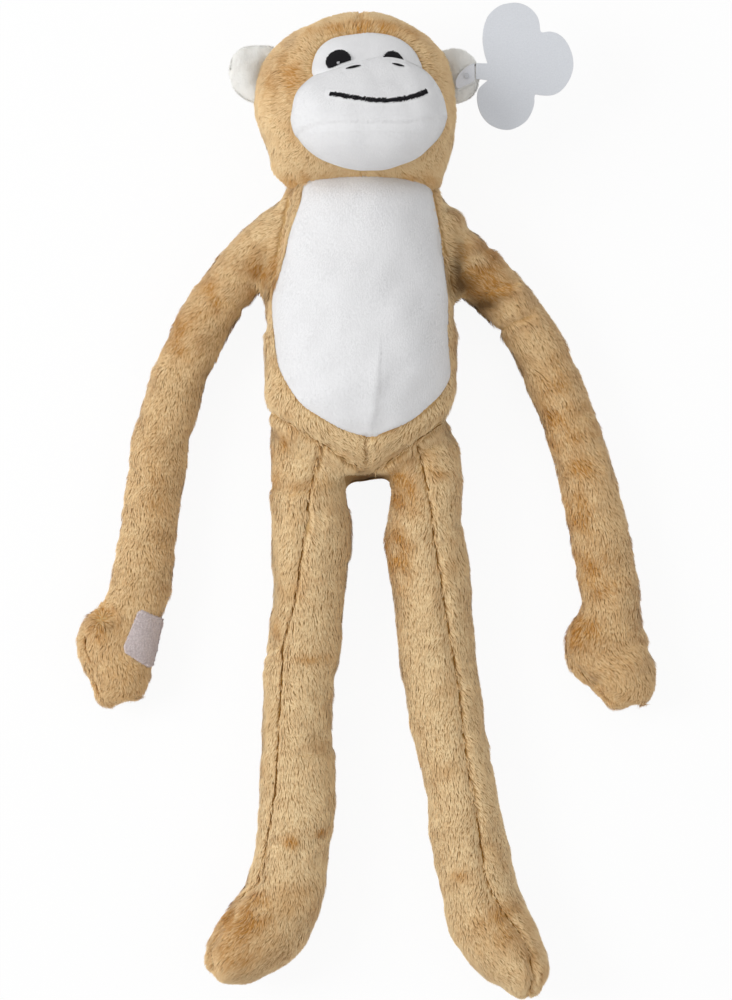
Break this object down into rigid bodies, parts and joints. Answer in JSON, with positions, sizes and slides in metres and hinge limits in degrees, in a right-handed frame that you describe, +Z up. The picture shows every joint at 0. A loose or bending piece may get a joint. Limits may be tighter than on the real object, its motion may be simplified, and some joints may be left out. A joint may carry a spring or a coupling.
{
  "type": "plush monkey",
  "caption": "Long-limbed stuffed monkey lying on its back, with a white face and belly, jointed head, arms and legs, hand tapes and a blank hang tag on one ear.",
  "frame": {"origin": "on the floor under the middle of the whole toy, which lies on its back, to within 2.5 mm of the bounding box's own middle", "axes": "+Z up out of the belly, +Y from the feet to the head, +X to the monkey's own left hand"},
  "size_m": [0.2851, 0.4905, 0.1055],
  "materials": {
    "tan_plush": "short brushed pile, combed down the limbs, darker at the roots",
    "white_plush": "very short, smooth white pile",
    "cream_plush": "short, soft cream-white pile",
    "fibre_fill": "loose white fibre filling",
    "black_thread": "satin-stitched black embroidery thread",
    "loop_tape": "looped tape, pale mauve grey",
    "hook_tape": "hooked tape, pale mauve grey",
    "tag_card": "smooth blank card, pale grey",
    "clear_plastic": "clear moulded fastener"
  },
  "bodies": {
    "torso": {"torso_panel_right": "tan_plush", "torso_panel_left": "tan_plush", "belly_panel": "white_plush", "torso_filling": "fibre_fill"},
    "head": {"head_panel_right": "tan_plush", "head_panel_left": "tan_plush", "face_mask": "white_plush", "head_filling": "fibre_fill", "muzzle_upper_panel": "white_plush", "muzzle_chin_panel": "white_plush", "eye_right": "black_thread", "eye_left": "black_thread", "nostril_right": "black_thread", "nostril_left": "black_thread", "mouth": "black_thread", "ear_front_right": "cream_plush", "ear_back_right": "cream_plush", "ear_front_left": "cream_plush", "ear_back_left": "cream_plush", "hang_tag_flap": "tag_card", "tag_pin": "clear_plastic"},
    "tag": {"hang_tag_card": "tag_card"},
    "arm_right": {"arm_front_panel_right": "tan_plush", "arm_back_panel_right": "tan_plush", "arm_filling_right": "fibre_fill", "loop_pad": "loop_tape"},
    "arm_left": {"arm_front_panel_left": "tan_plush", "arm_back_panel_left": "tan_plush", "arm_filling_left": "fibre_fill", "hook_pad": "hook_tape"},
    "leg_right": {"leg_outer_panel_right": "tan_plush", "leg_inner_panel_right": "tan_plush", "leg_filling_right": "fibre_fill"},
    "leg_left": {"leg_outer_panel_left": "tan_plush", "leg_inner_panel_left": "tan_plush", "leg_filling_left": "fibre_fill"}
  },
  "joints": [
    {"name": "neck", "type": "hinge", "parent": "torso", "child": "head", "pos_m": [-0.0025, 0.148, 0.033], "axis": [1, 0, 0], "range_deg": [-20, 9], "stiffness_Nm_per_rad": 0.05},
    {"name": "tag_fold", "type": "hinge", "parent": "head", "child": "tag", "pos_m": [0.0533, 0.2088, 0.0491], "axis": [0, 1, 0], "range_deg": [-50, 5], "stiffness_Nm_per_rad": 0.01},
    {"name": "shoulder_right", "type": "hinge", "parent": "torso", "child": "arm_right", "pos_m": [-0.0425, 0.129, 0.03], "axis": [-1, 0, 0], "range_deg": [-20, 110]},
    {"name": "shoulder_left", "type": "hinge", "parent": "torso", "child": "arm_left", "pos_m": [0.0375, 0.124, 0.03], "axis": [-1, 0, 0], "range_deg": [-20, 110]},
    {"name": "hip_right", "type": "hinge", "parent": "torso", "child": "leg_right", "pos_m": [-0.029, 0.0175, 0.025], "axis": [-1, 0, 0], "range_deg": [-15, 90]},
    {"name": "hip_left", "type": "hinge", "parent": "torso", "child": "leg_left", "pos_m": [0.0293, 0.018, 0.025], "axis": [-1, 0, 0], "range_deg": [-15, 90]}
  ]
}
